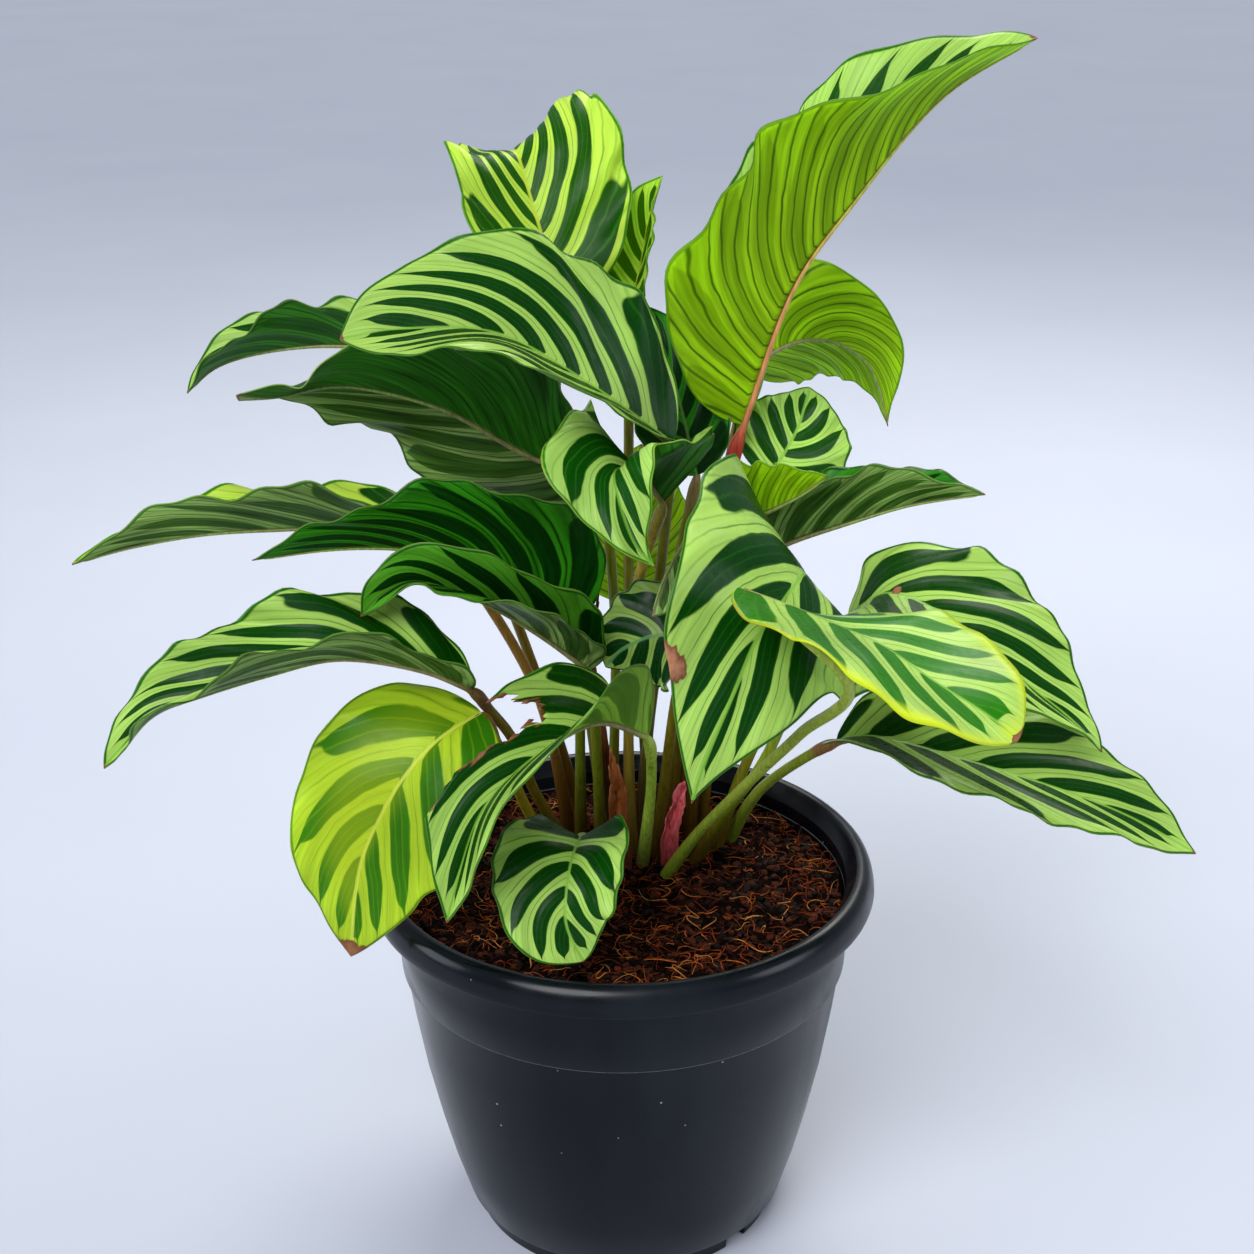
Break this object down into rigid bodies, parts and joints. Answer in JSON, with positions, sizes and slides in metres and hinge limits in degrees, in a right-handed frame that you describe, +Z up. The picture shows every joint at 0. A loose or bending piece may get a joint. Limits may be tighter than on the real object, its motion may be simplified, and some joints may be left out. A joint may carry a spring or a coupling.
{
  "type": "potted prayer plant",
  "caption": "Potted prayer plant with long striped leaves on slender stems, arching from a round black nursery pot of soil; a decorative house plant.",
  "frame": {"origin": "centre of the pot's underside, on the surface it stands on", "axes": "+Z up along the pot's axis; -Y towards the front of the plant, +X to its right as seen from the front"},
  "size_m": [0.44, 0.3351, 0.4907],
  "materials": {
    "pot": "satin",
    "soil": "matte",
    "striped_leaf": "satin",
    "dark_leaf": "satin",
    "backlit_leaf": "satin",
    "yellow_leaf": "satin",
    "dry_sheath": "matte",
    "pink_bract": "matte"
  },
  "bodies": {
    "root": {"pot": "pot", "soil": "soil", "leaf_tall": "backlit_leaf", "leaf_back_top": "striped_leaf", "leaf_arch": "striped_leaf", "leaf_left_upper": "dark_leaf", "leaf_left_far": "striped_leaf", "leaf_left_long": "striped_leaf", "leaf_left_middle": "dark_leaf", "leaf_left_under": "striped_leaf", "leaf_left_low": "striped_leaf", "leaf_yellow": "yellow_leaf", "leaf_front_left": "striped_leaf", "leaf_small_front": "striped_leaf", "leaf_centre": "striped_leaf", "leaf_front_big": "striped_leaf", "leaf_front_right": "striped_leaf", "leaf_right_upper": "striped_leaf", "leaf_right_low": "striped_leaf", "leaf_right_middle": "dark_leaf", "leaf_back_right": "backlit_leaf", "leaf_back_centre": "striped_leaf", "leaf_right_inner": "backlit_leaf", "leaf_back_rolled": "striped_leaf", "leaf_inner_dark": "dark_leaf", "leaf_inner_striped": "dark_leaf", "leaf_inner_grey": "dark_leaf", "leaf_back_low": "backlit_leaf", "sheath_red": "dry_sheath", "sheath_papery": "dry_sheath", "bract_pink": "pink_bract"}
  },
  "joints": []
}
